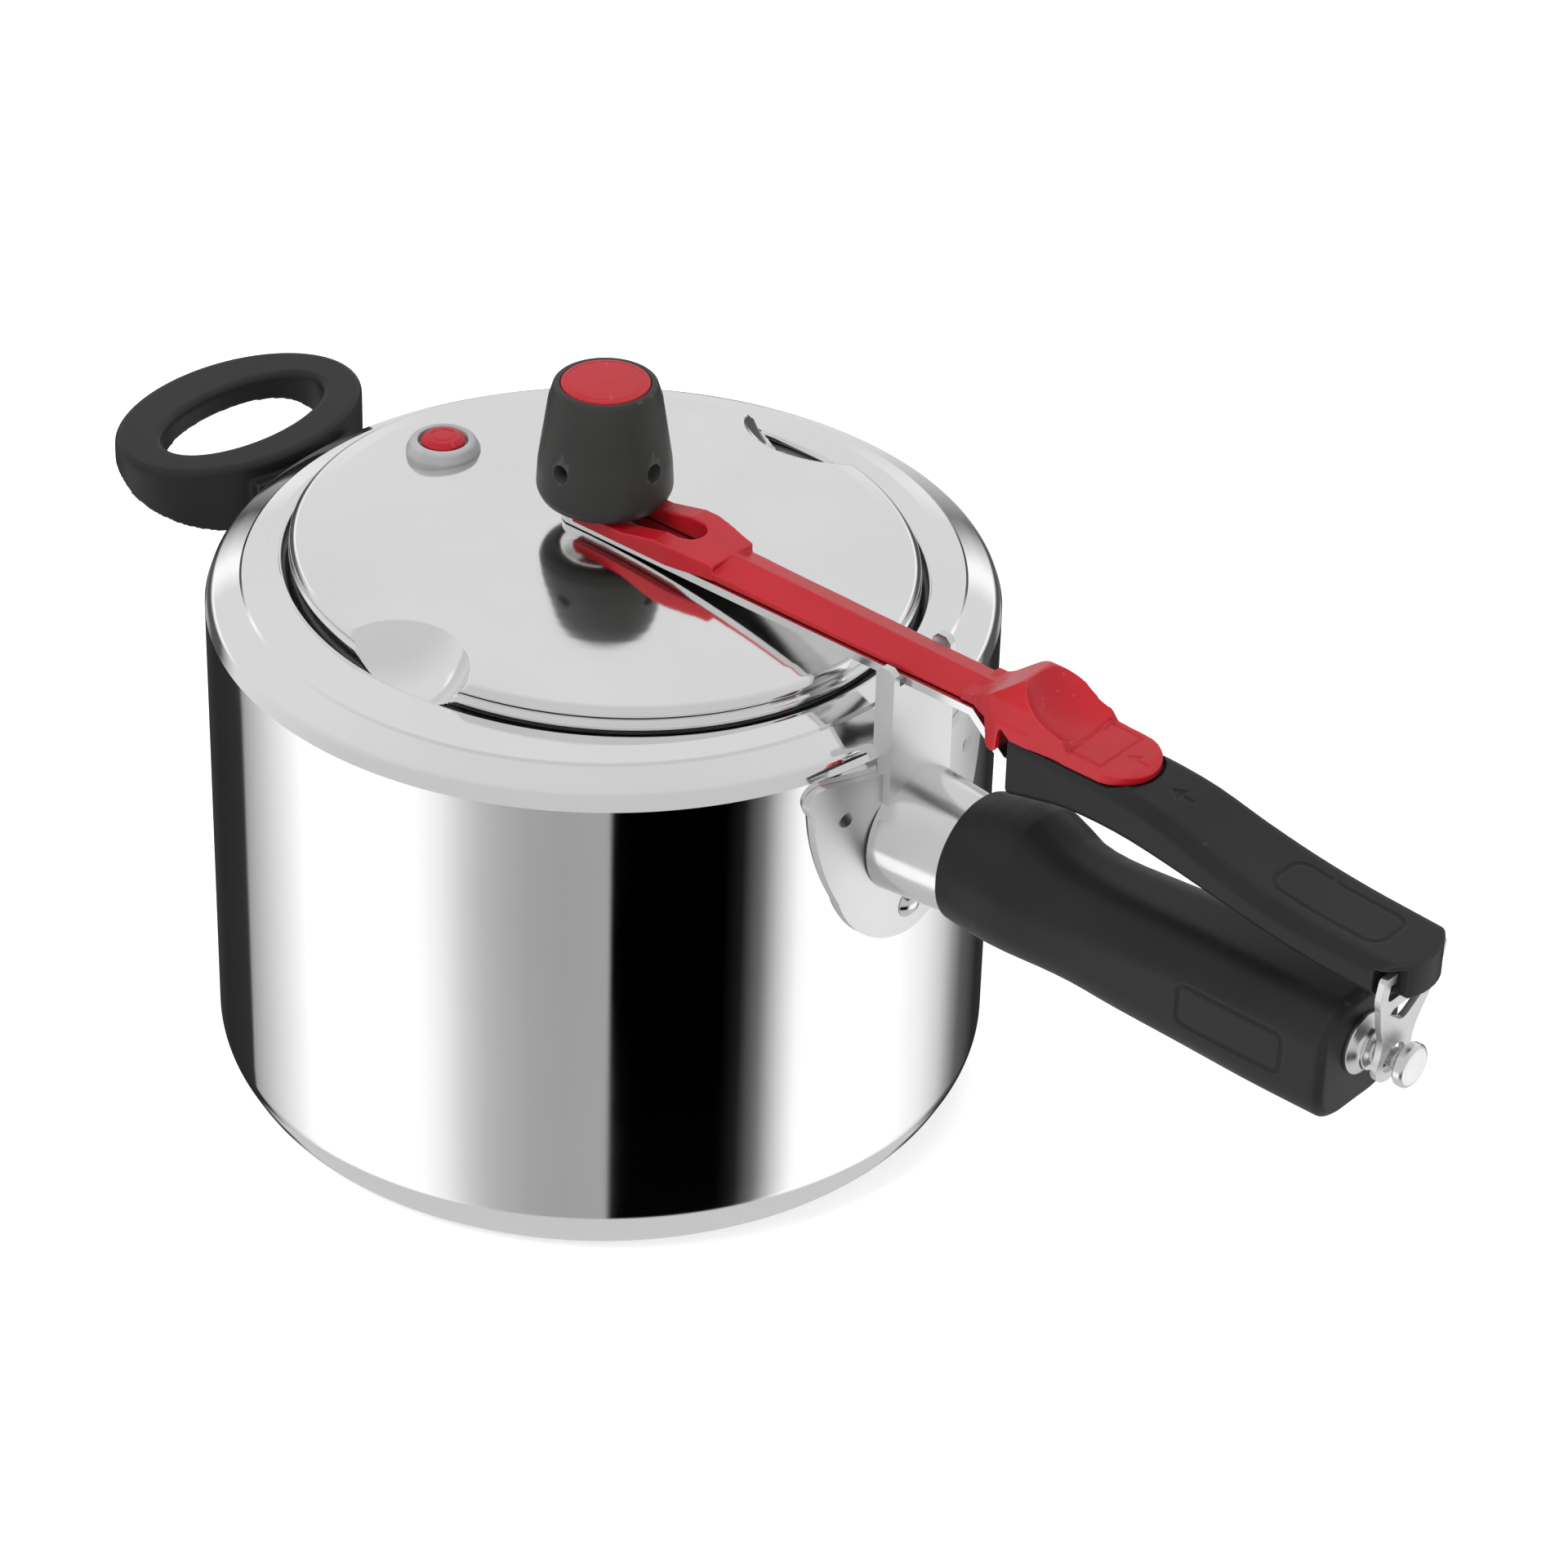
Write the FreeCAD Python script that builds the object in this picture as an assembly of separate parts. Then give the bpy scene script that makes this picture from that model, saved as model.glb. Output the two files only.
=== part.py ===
import FreeCAD, Part
import math
import os

# Inner-lid pressure cooker. Millimetres, +Z up, origin at the centre of the base, +X along the long handle.

# Pot
POT_R = 104.0            # outside of the wall
POT_WALL = 2.4
POT_FLOOR = 4.5
POT_BASE_R = 98.0        # flat ring that stands on the hob
POT_BASE_ROUND_Z = 11.4  # height where the straight wall starts
POT_WALL_TOP = 137.0     # height where the straight wall ends
SHOULDER_R = 95.0        # where the shoulder round ends
SHOULDER_Z = 147.0
RIM_R = 88.5             # where the flat rim starts
RIM_Z = 149.7            # top of the flat rim
RIM_THICK = 2.6
MOUTH_A = 86.9           # oval mouth, half length along X
MOUTH_B = 80.4           # and along Y

# Lid
LID_A = 85.0             # oval lid crown, half length along X
LID_B = 78.1
OVAL = LID_B / LID_A
LID_EDGE_Z = 156.0
LID_TOP_Z = 162.3
LID_THICK = 2.4
NECK_A = 85.4
FLANGE_A = 95.0
FLANGE_Z = 140.0
SCOOP_X = 3.0
SCOOP_Y = 86.2
SCOOP_Z = 168.8
SCOOP_R = 25.6
VALVE_X = -58.0

# Arm, lever and weight, stacked on the lid's centre
ARM_W = 8.5              # half width
ARM_Z0 = 162.5
ARM_Z1 = 164.8
ARM_X0 = -12.0
ARM_X1 = 196.0
ARM_DROP = 9.5           # the strip steps down inside the long handle
LEVER_Z0 = 165.1
FORK_Z = 168.7
LEVER_Z1 = 169.5
RAMP_X0 = 15.0
RAMP_X1 = 26.0
RAMP_RISE = 2.4
FORK_W = 10.4
SLOT_W = 4.7
SLOT_X = 29.0
LEVER_W = 7.6
HEAD_W = 11.0
TONGUE_W = 10.4
TIP_X = 178.8
TONGUE_Z0 = 162.3
THUMB_R = 19.3           # hollow in front of the lever's ridge
STEM_R = 4.0
STEM_TOP = 185.0
WEIGHT_Z0 = 169.5
WEIGHT_Z1 = 203.0
WEIGHT_R = 17.8
WEIGHT_HOLE_Z = 182.6
WEIGHT_HOLE_R = 2.5

# Long handle
TUBE_Z = 115.0
TUBE_R = 15.7
TUBE_FLARE = 17.5       # where it meets the wall
SPIGOT_R = 14.2
TUBE_WALL = 2.0
PLATE_X = 107.6          # front face of the bracket's upright
PLATE_T = 2.2
TOWER_W = 12.0
EAR_Z = 167.0
SADDLE_Z = 162.1
RIVET_Y = 23.4
RIVET_Z = 127.5
LOW_RIVET_Z = 91.9
GRIP_X0 = 127.0
GRIP_X1 = 245.0
SCREW_Z = 117.5
SCREW_R = 2.5
UPPER_X0 = 141.5
UPPER_X1 = 262.0

# Latch
LATCH_X = 253.3          # hinge line
LATCH_TILT = 6.5         # degrees it leans out at rest
LATCH_T = 1.8
LATCH_TOP = 147.7
LATCH_LEG = 12.6
SCREW_HEAD_X = 257.0

SCREW_XS = (158.0, 184.0)  # screws that hold the long handle to the strip

# Helper handle
LOOP_X = -136.1
LOOP_A = 26.8
LOOP_B = 39.6
LOOP_HOLE_X = -134.6
LOOP_HOLE_A = 13.6
LOOP_HOLE_B = 27.6
LOOP_TOP = 141.5
HELPER_RIVET_Y = 11.2

X = FreeCAD.Vector(1, 0, 0)
Y = FreeCAD.Vector(0, 1, 0)
Z = FreeCAD.Vector(0, 0, 1)
ORIGIN = FreeCAD.Vector(0, 0, 0)


def v(x, y, z):
    return FreeCAD.Vector(x, y, z)


def path(points, place):
    """A closed wire. A point is (a, b), after a line, or (am, bm, a, b), after an arc through am, bm."""
    edges = []
    last = place(*points[0])
    for p in points[1:] + [points[0]]:
        end = place(*p[-2:])
        if (end - last).Length < 1e-6:
            continue
        if len(p) == 4:
            edges.append(Part.Arc(last, place(*p[:2]), end).toShape())
        else:
            edges.append(Part.LineSegment(last, end).toShape())
        last = end
    return Part.Wire(edges)


def turned(points, centre=ORIGIN, axis=Z):
    """Revolves a profile of (radius, height) points about the axis through the centre."""
    if axis == X:
        wire = path(points, lambda r, h: v(h, centre.y, centre.z + r))
    else:
        wire = path(points, lambda r, h: v(centre.x + r, centre.y, h))
    return Part.Face(wire).revolve(centre, axis, 360)


def plan(points, z0, z1):
    """Extrudes an XY outline from z0 to z1."""
    return Part.Face(path(points, lambda a, b: v(a, b, z0))).extrude(v(0, 0, z1 - z0))


def side(points, y0, y1):
    """Extrudes an XZ outline from y0 to y1."""
    return Part.Face(path(points, lambda a, b: v(a, y0, b))).extrude(v(0, y1 - y0, 0))


def front(points, x0, x1):
    """Extrudes a YZ outline from x0 to x1."""
    return Part.Face(path(points, lambda a, b: v(x0, a, b))).extrude(v(x1 - x0, 0, 0))


def rod(r, z0, z1, x=0.0, y=0.0):
    return Part.makeCylinder(r, z1 - z0, v(x, y, z0), Z)


def rod_x(r, x0, x1, y=0.0, z=0.0):
    return Part.makeCylinder(r, x1 - x0, v(x0, y, z), X)


def box(x0, x1, y0, y1, z0, z1):
    return Part.makeBox(x1 - x0, y1 - y0, z1 - z0, v(x0, y0, z0))


def oval_prism(a, b, z0, z1, x=0.0):
    """An upright prism on an ellipse, whose long half is along X or Y."""
    if a >= b:
        ellipse = Part.Ellipse(v(x + a, 0, z0), v(x, b, z0), v(x, 0, z0))
    else:
        ellipse = Part.Ellipse(v(x, b, z0), v(x - a, 0, z0), v(x, 0, z0))
    return Part.Face(Part.Wire(ellipse.toShape())).extrude(v(0, 0, z1 - z0))


def squash_y(shape, ratio):
    m = FreeCAD.Matrix()
    m.A22 = ratio
    return shape.transformGeometry(m)


def round_rect(x, half_w, z0, z1, r):
    """A rounded rectangle in the YZ plane at x, as a closed wire that starts at its lower left corner."""
    c = r * (1 - math.sqrt(0.5))
    w = half_w
    points = [(-w + r, z0), (w - r, z0), (w - c, z0 + c, w, z0 + r), (w, z1 - r),
              (w - c, z1 - c, w - r, z1), (-w + r, z1), (-w + c, z1 - c, -w, z1 - r),
              (-w, z0 + r), (-w + c, z0 + c, -w + r, z0)]
    return path(points, lambda a, b: v(x, a, b))


def between(keys, x):
    """The section at x, eased between the two key sections (x, half width, bottom, top, radius)."""
    for k in range(len(keys) - 1):
        a, b = keys[k], keys[k + 1]
        if x <= b[0]:
            break
    before = keys[max(0, k - 1)]
    after = keys[min(len(keys) - 1, k + 2)]
    span = b[0] - a[0]
    t = (x - a[0]) / span
    section = [x]
    for i in range(1, len(a)):
        slope_a = (b[i] - before[i]) / (b[0] - before[0]) * span
        slope_b = (after[i] - a[i]) / (after[0] - a[0]) * span
        h = (2 * t - 3) * t * t
        section.append(a[i] * (1 + h) - b[i] * h + slope_a * t * (1 - t) ** 2 - slope_b * t * t * (1 - t))
    return section


def loft_x(keys, step=5.0):
    """A loft along X through key sections, drawn as short straight lengths."""
    length = keys[-1][0] - keys[0][0]
    count = math.ceil(length / step)
    wires = [round_rect(*between(keys, keys[0][0] + length * n / count)) for n in range(count + 1)]
    return Part.makeLoft(wires, True, True)


def mirrored(points):
    """The other half of an outline that is symmetrical about a = 0, run through backwards."""
    out = [(-points[-1][-2], points[-1][-1])]
    for p, before in zip(points[:0:-1], points[-2::-1]):
        end = (-before[-2], before[-1])
        out.append((-p[0], p[1]) + end if len(p) == 4 else end)
    return out


def mirror_y(shape):
    return shape.mirror(ORIGIN, Y)


def polar(r, degrees):
    a = math.radians(degrees)
    return r * math.cos(a), r * math.sin(a)


def domed_head(r, height, base, normal):
    """A rivet's round head: a slice of a sphere on the base point."""
    ball_r = (r * r + height * height) / (2 * height)
    ball = Part.makeSphere(ball_r, base + normal * (height - ball_r))
    return ball.common(Part.makeCylinder(r + 1, height, base, normal))


# ---------------------------------------------------------------- pot

def pot_shell():
    inner_r = POT_R - POT_WALL
    round_dx, round_dz = POT_R - SHOULDER_R, SHOULDER_Z - POT_WALL_TOP
    k = math.sqrt(0.5)
    outer = [(0, 0.6), (76, 0.6), (78, 0), (POT_BASE_R, 0),
             (102.3, 4.6, POT_R, POT_BASE_ROUND_Z), (POT_R, POT_WALL_TOP),
             (POT_R - round_dx * (1 - k), POT_WALL_TOP + round_dz * k, SHOULDER_R, SHOULDER_Z),
             (91.9, 148.9, RIM_R, RIM_Z), (60, RIM_Z)]
    inner = [(60, RIM_Z - RIM_THICK), (RIM_R - 0.3, RIM_Z - RIM_THICK),
             (91.0, 146.4, SHOULDER_R - 0.8, SHOULDER_Z - RIM_THICK),
             (inner_r - 1.9, 141.6, inner_r, POT_WALL_TOP - 0.5), (inner_r, 14.0),
             (98.6, 7.2, 92.0, POT_FLOOR), (0, POT_FLOOR)]
    shell = turned(outer + inner)
    shell = shell.cut(oval_prism(MOUTH_A, MOUTH_B, RIM_Z - 5, RIM_Z + 5))
    lip = [e for e in shell.Edges if abs(e.BoundBox.XMax - MOUTH_A) < 0.05 and e.BoundBox.ZLength < 0.05]
    return shell.makeFillet(0.7, lip)


def pot_body():
    """The shell with the holes for the bracket and helper rivets."""
    shell = cut_rivet_holes(pot_shell())
    for y in (-HELPER_RIVET_Y, HELPER_RIVET_Y):
        shell = shell.cut(rod_x(1.55, -120, -90, y, 129))
    return shell


def wrap(outline, r0, r1):
    """Bends a plate onto the wall: the part of the outline's prism between two radii."""
    block = front(outline, 60, 125)
    return block.common(rod(r1, 60, 180)).cut(rod(r0, 59, 181))


def bracket_plate():
    outline = [(0, 83.3), (13.5, 87.4, 24.9, 102.4), (30.0, 114.6, 33.0, 131.0), (33.2, 137.6, 29.0, 138.8),
               (13.0, 136.5), (-13.0, 136.5), (-29.0, 138.8), (-33.2, 137.6, -33.0, 131.0),
               (-30.0, 114.6, -24.9, 102.4), (-13.5, 87.4, 0, 83.3)]
    plate = wrap(outline, POT_R + 0.02, POT_R + PLATE_T)
    web = box(PLATE_X - PLATE_T, PLATE_X, -TOWER_W, TOWER_W, 122, SADDLE_Z)
    cheek = side([(102.6, 122.0), (PLATE_X, 122.0), (PLATE_X, EAR_Z - 1.6), (PLATE_X - 1.6, EAR_Z),
                  (103.4, EAR_Z), (101.8, EAR_Z - 1.6), (101.8, 139.0)], TOWER_W - PLATE_T, TOWER_W)
    tower = web.fuse([cheek, mirror_y(cheek)])
    shape = plate.fuse(tower).cut(rod(POT_R + 0.02, 60, POT_WALL_TOP + 0.5))
    shoulder = turned([(0, POT_WALL_TOP), (POT_R + 0.02, POT_WALL_TOP),
                       (101.5, 144.4, SHOULDER_R, SHOULDER_Z + 0.1),
                       (91.9, 149.2, 80, 152), (0, 152)])
    shape = shape.cut(shoulder)
    shape = shape.cut(rod_x(TUBE_R - TUBE_WALL, 90, 120, 0, TUBE_Z))
    return cut_rivet_holes(shape).removeSplitter()


def rivet_places():
    """Centre and outward direction of each bracket rivet, on the wall."""
    for y, z in ((-RIVET_Y, RIVET_Z), (RIVET_Y, RIVET_Z), (0.0, LOW_RIVET_Z)):
        n = v(math.sqrt(POT_R * POT_R - y * y), y, 0)
        n.normalize()
        yield v(0, 0, z), n


def cut_rivet_holes(shape, r=2.05):
    for base, n in rivet_places():
        shape = shape.cut(Part.makeCylinder(r, 30, base + n * 90, n))
    return shape


def bracket_rivets():
    rivets = []
    for base, n in rivet_places():
        shank = Part.makeCylinder(2.0, PLATE_T + POT_WALL + 0.6, base + n * (POT_R - POT_WALL - 0.3), n)
        outside = domed_head(4.2, 2.0, base + n * (POT_R + PLATE_T + 0.02), n)
        flat = Part.makeCylinder(4.0, 1.0, base + n * (POT_R - POT_WALL - 1.15), n)
        rivets.append(shank.fuse([outside, flat]).removeSplitter())
    return Part.Compound(rivets)


def handle_tube():
    """Tapered where it shows, then a plain spigot inside the grip."""
    x0, x1 = POT_R - 1, 150.0
    outline = [(TUBE_R - TUBE_WALL, x0), (TUBE_FLARE, x0), (TUBE_R, GRIP_X0), (TUBE_R, GRIP_X0 + 1),
               (SPIGOT_R, GRIP_X0 + 1.4), (SPIGOT_R, x1), (SPIGOT_R - TUBE_WALL, x1),
               (SPIGOT_R - TUBE_WALL, GRIP_X0 - 1), (TUBE_R - TUBE_WALL, GRIP_X0 - 3)]
    tube = turned(outline, v(0, 0, TUBE_Z), X)
    tube = tube.cut(box(100, PLATE_X + 0.02, -TOWER_W - 0.1, TOWER_W + 0.1, 121.9, 140))
    return tube.cut(rod(POT_R + PLATE_T + 0.02, 90, 140))


def tube_plug():
    plug = rod_x(SPIGOT_R - TUBE_WALL - 0.03, 141.5, 148.5, 0, TUBE_Z)
    return plug.cut(rod_x(SCREW_R + 0.02, 140, 150, 0, SCREW_Z))


def tie_screw():
    shank = rod_x(SCREW_R, 140.5, SCREW_HEAD_X + 0.1, 0, SCREW_Z)
    x = SCREW_HEAD_X
    head = turned([(0, x), (5.0, x), (5.8, x + 0.8), (5.8, x + 2.5),
                   (5.3, x + 3.1, 4.0, x + 3.3), (0, x + 3.4)], v(0, 0, SCREW_Z), X)
    return shank.fuse(head).removeSplitter()


def latch_seat():
    x = GRIP_X1 + 0.02
    outline = [(SCREW_R + 0.05, x), (8.2, x), (8.2, x + 1.2), (6.4, x + 2.0, 5.8, x + 3.4),
               (5.8, x + 4.2), (3.4, x + 4.6), (3.4, 250.2), (SCREW_R + 0.05, 250.2)]
    return turned(outline, v(0, 0, SCREW_Z), X)


def lower_grip():
    sections = [(GRIP_X0, 16.9, 98.6, 133.4, 16.6), (132, 18.0, 98.4, 135.2, 17.6),
                (140, 19.0, 98.2, 136.6, 18.2), (148, 18.7, 98.3, 136.0, 17.6),
                (156, 17.0, 98.5, 132.2, 15.6), (166, 15.9, 98.9, 130.8, 13.6),
                (180, 15.8, 98.7, 131.0, 12.2), (200, 16.1, 98.8, 131.8, 11.2),
                (222, 16.5, 98.7, 132.2, 10.4), (GRIP_X1, 16.5, 98.8, 132.2, 10.0)]
    grip = loft_x(sections)
    end = [e for e in grip.Edges if e.BoundBox.XMin > GRIP_X1 - 0.01]
    grip = grip.makeChamfer(2.0, end)
    grip = grip.cut(rod_x(TUBE_R + 0.03, GRIP_X0 - 1, GRIP_X0 + 1.5, 0, TUBE_Z))
    grip = grip.cut(rod_x(SPIGOT_R + 0.03, GRIP_X0, 150.1, 0, TUBE_Z))
    return grip.cut(rod_x(SCREW_R + 0.1, 140, GRIP_X1 + 1, 0, SCREW_Z))


# ---------------------------------------------------------------- helper handle

def helper_bracket():
    outline = [(-15, 121), (15, 121), (15, 137), (-15, 137)]
    strap = front(outline, -125, -60).common(rod(POT_R + 2.0, 100, 150)).cut(rod(POT_R + 0.02, 99, 151))
    post = box(-118.0, -POT_R - 1.0, -7.0, 7.0, 126.0, 130.0)
    holes = rod(2.1, 120, 136, -113.5, 0)
    shape = strap.fuse(post).cut(rod(POT_R + 0.02, 99, 151)).cut(holes)
    for y in (-HELPER_RIVET_Y, HELPER_RIVET_Y):
        shape = shape.cut(rod_x(1.55, -125, -90, y, 129))
    return shape


def helper_rivets():
    rivets = []
    for y in (-HELPER_RIVET_Y, HELPER_RIVET_Y):
        x = math.sqrt(POT_R * POT_R - y * y)
        shank = rod_x(1.5, -x - 3.2, -x + POT_WALL + 1.0, y, 129)
        outside = domed_head(2.9, 1.4, v(-x - 2.5, y, 129), v(-1, 0, 0))
        inside = rod_x(2.8, -x + POT_WALL + 0.5, -x + POT_WALL + 1.5, y, 129)
        rivets.append(shank.fuse([outside, inside]).removeSplitter())
    return Part.Compound(rivets)


def helper_handle():
    ring = oval_prism(LOOP_A, LOOP_B, 116, LOOP_TOP, LOOP_X)
    wedge = side([(-170, 134.4), (-152, 134.4), (-144, 133.6, -138, 131.0), (-112, 120.4), (-108.4, 120.4),
                  (-108.4, LOOP_TOP + 1), (-170, LOOP_TOP + 1)], -50, 50)
    ring = ring.common(wedge)
    neck = plan([(-120, -16), (-108.4, -20), (-108.4, 20), (-120, 16)], 120.0, 136.5)
    ring = ring.fuse(neck).removeSplitter()
    ring = ring.cut(oval_prism(LOOP_HOLE_A, LOOP_HOLE_B, 110, 150, LOOP_HOLE_X))
    ring = ring.cut(rod(POT_R + 3.9, 110, 150))
    rim = [e for e in ring.Edges if e.BoundBox.ZMin > LOOP_TOP - 0.05 and e.BoundBox.YLength > 30]
    ring = ring.makeFillet(1.8, rim)
    pocket = box(-119.0, -100, -7.3, 7.3, 125.7, 130.3)
    clear_heads = box(-112.0, -100, -15.4, 15.4, 124.0, 134.0)
    head = rod(4.2, 110, 123.2, -113.5, 0)
    thread = rod(1.6, 126, 134.5, -113.5, 0)
    screw = rod(2.1, 110, 126, -113.5, 0).fuse([head, thread])
    return ring.cut(pocket).cut(clear_heads).cut(screw)


def helper_screw():
    shank = rod(1.55, 122.8, 134.0, -113.5, 0)
    head = rod(3.9, 120.9, 123.1, -113.5, 0).cut(rod(1.6, 120.0, 121.9, -113.5, 0))
    return shank.fuse(head).removeSplitter()


# ---------------------------------------------------------------- lid

def scoops(r):
    return [Part.makeSphere(r, v(SCOOP_X, s * SCOOP_Y, SCOOP_Z)) for s in (-1, 1)]


def lid_shell():
    dome_mid = LID_TOP_Z - (LID_TOP_Z - LID_EDGE_Z) * 0.25
    t = LID_THICK
    crown = LID_A - 1.0
    outer = [(0, LID_TOP_Z), (crown / 2, dome_mid + 0.1, crown, LID_EDGE_Z),
             (LID_A + 0.1, 155.5, LID_A + 0.2, 154.4),
             (LID_A - 0.4, 152.6), (LID_A - 0.4, 151.8), (NECK_A, 151.2), (NECK_A, FLANGE_Z + t + 0.8),
             (NECK_A + 0.25, FLANGE_Z + t + 0.2, NECK_A + 0.8, FLANGE_Z + t),
             (FLANGE_A - 1.2, FLANGE_Z + t),
             (FLANGE_A - 0.3, FLANGE_Z + 1.2, FLANGE_A - 1.2, FLANGE_Z), (0, FLANGE_Z)]
    inner = [(0, LID_TOP_Z - t), (crown / 2, dome_mid + 0.1 - t, crown - 1.8, LID_EDGE_Z - t),
             (NECK_A - t, 152.2), (NECK_A - t, FLANGE_Z - 1), (0, FLANGE_Z - 1)]
    solid = squash_y(turned(outer), OVAL)
    hollow = squash_y(turned(inner), OVAL)
    for ball in scoops(SCOOP_R):
        solid = solid.cut(ball)
    for ball in scoops(SCOOP_R + t):
        hollow = hollow.cut(ball)
    shell = solid.cut(hollow)
    shell = shell.cut(rod(STEM_R + 0.1, 130, 175))
    return shell.cut(rod(5.1, 130, 175, VALVE_X, 0))


def lid_gasket():
    outline = [(NECK_A + 0.9, FLANGE_Z + LID_THICK + 0.05), (FLANGE_A - 1.4, FLANGE_Z + LID_THICK + 0.05),
               (FLANGE_A - 1.0, 143.2), (FLANGE_A - 1.3, 143.9), (91.2, 145.4), (NECK_A + 0.9, 146.4)]
    return squash_y(turned(outline), OVAL)


def lid_arm():
    z0, z1, d = ARM_Z0, ARM_Z1, ARM_DROP
    w = ARM_W
    profile = side([(ARM_X0 - 9, z0), (128.5, z0), (139.0, z0 - d), (ARM_X1, z0 - d), (ARM_X1, z1 - d),
                    (140.0, z1 - d), (129.5, z1), (ARM_X0 - 9, z1)], -w, w)
    outline = plan([(0, -w), (ARM_X1 + 1, -w), (ARM_X1 + 1, w), (0, w), (ARM_X0, 0, 0, -w)], 140, 180)
    strip = profile.common(outline).cut(rod(STEM_R + 0.1, 150, 180))
    for x in SCREW_XS:
        strip = strip.cut(rod(1.95, 140, 170, x, 0))
    return strip


def vent_stem():
    outline = [(0.9, 150.0), (STEM_R, 150.0), (STEM_R, STEM_TOP - 1.2), (2.6, STEM_TOP), (0.9, STEM_TOP)]
    return turned(outline)


def stem_washer():
    z1 = LID_TOP_Z - LID_THICK - 0.15
    return rod(9.0, z1 - 1.2, z1).cut(rod(STEM_R + 0.05, z1 - 2, z1 + 1))


def stem_nut():
    z1 = LID_TOP_Z - LID_THICK - 1.4
    points = [polar(7.5, 60 * i) for i in range(6)]
    return plan(points, z1 - 4.5, z1).cut(rod(STEM_R + 0.02, 140, z1 + 1))


def upper_handle():
    sections = [(UPPER_X0, 9.9, 145.0, 163.4, 3.0), (150, 10.6, 147.2, 163.4, 3.4),
                (160, 11.0, 149.2, 163.4, 3.8), (176, 11.4, 149.6, 163.2, 3.8),
                (190, 12.0, 148.4, 161.4, 3.8), (205, 12.7, 146.4, 157.4, 3.8),
                (220, 13.2, 144.2, 154.2, 3.8), (235, 13.3, 142.2, 152.3, 3.8),
                (250, 13.0, 141.0, 151.5, 3.8), (264, 12.6, 140.8, 151.0, 3.8)]
    body = loft_x(sections)
    r = 13.4
    tail = UPPER_X1 - 8.0
    body = body.common(plan([(UPPER_X0, -r), (tail, -r), (UPPER_X1, 0, tail, r), (UPPER_X0, r)], 130, 175))
    w = TONGUE_W + 0.6
    body = body.cut(box(135, 169.2, -15, 15, TONGUE_Z0 - 0.5, 175))
    recess = [(160, -w), (169.2, -w), (TIP_X + 0.8, 0, 169.2, w), (160, w)]
    body = body.cut(plan(recess, TONGUE_Z0 - 0.5, 170))
    z0, z1 = ARM_Z0 - ARM_DROP, ARM_Z1 - ARM_DROP
    body = body.cut(box(138, ARM_X1 + 0.2, -ARM_W - 0.1, ARM_W + 0.1, z0 - 0.05, z1 + 0.05))
    body = body.cut(box(138, 142.5, -ARM_W - 0.1, ARM_W + 0.1, z0 - 0.05, z1 + 2))
    for x in SCREW_XS:
        body = body.cut(rod(2.0, 148, 157.4, x, 0)).cut(rod(3.9, 140, 151.0, x, 0))
    for s in (-1, 1):
        leg = sorted((s * 8.9, s * 16))
        lug = sorted((s * 6.9, s * 9.0))
        body = body.cut(box(253.9, 270, leg[0], leg[1], 138, 149.2))
        body = body.cut(box(253.9, 270, lug[0], lug[1], 142.3, 149.2))
        body = body.cut(box(256.7, 270, lug[0], lug[1], 138, 149.2))
    return body


def handle_screws():
    screws = []
    for x in SCREW_XS:
        head = rod(3.7, 149.5, 150.98, x, 0).cut(box(x - 3, x + 3, -0.5, 0.5, 149, 150.1))
        screws.append(rod(1.9, 150.5, 157.0, x, 0).fuse(head).removeSplitter())
    return Part.Compound(screws)


def valve_seal():
    cap = [(2.05, 150.5), (6.6, 150.5), (7.2, 153.0), (7.2, 155.4), (5.0, 155.8), (5.0, 157.6),
           (9.9, 157.2), (9.9, 160.6), (9.2, 162.4, 7.2, 163.4), (6.6, 163.4), (6.6, 161.4),
           (2.05, 161.4)]
    seal = turned(cap, v(VALVE_X, 0, 0)).cut(lid_shell())
    return max(seal.Solids, key=lambda solid: solid.Volume)


def valve_pin():
    x = VALVE_X
    disc = [(0, 161.8), (5.6, 161.8), (6.0, 162.2), (6.0, 163.4), (5.4, 164.2, 4.2, 164.4), (0, 164.5)]
    tip = [(0, 143.8), (1.2, 143.8), (3.1, 145.0), (3.1, 146.6), (1.98, 147.0), (1.98, 162.0), (0, 162.0)]
    return turned(disc, v(x, 0, 0)).fuse(turned(tip, v(x, 0, 0))).removeSplitter()


# ---------------------------------------------------------------- weight

def weight_side():
    """Outside of the weight's shell from its lower lip to the seat of the cap."""
    z0, z1 = WEIGHT_Z0, WEIGHT_Z1
    return [(13.6, z0), (16.6, z0 + 0.9, WEIGHT_R, z0 + 3.6), (17.3, z0 + 12.0, 14.6, z1 - 4.6),
            (13.9, z1 - 1.6, 12.4, z1 - 0.2), (11.7, z1 - 0.2), (11.7, z1 - 1.2)]


def weight_shell():
    z0, z1 = WEIGHT_Z0, WEIGHT_Z1
    shell = turned(weight_side() + [(9.5, z1 - 1.2), (9.5, z1 - 3.2), (11.4, z1 - 3.4), (12.6, z0 + 12.0),
                                    (12.6, z0)])
    for i in range(4):
        x, y = polar(1, 90 * i)
        shell = shell.cut(Part.makeCylinder(WEIGHT_HOLE_R, 14, v(x * 8, y * 8, WEIGHT_HOLE_Z), v(x, y, 0)))
    return shell


def weight_core():
    z0, z1 = WEIGHT_Z0, WEIGHT_Z1
    top = STEM_TOP + 0.4
    outline = [(STEM_R + 0.08, z0 + 0.3), (12.5, z0 + 0.3), (12.5, z0 + 9.0), (9.0, z0 + 10.5),
               (9.0, z1 - 3.6), (0, z1 - 3.6), (0, top), (STEM_R + 0.08, top)]
    return turned(outline)


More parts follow.
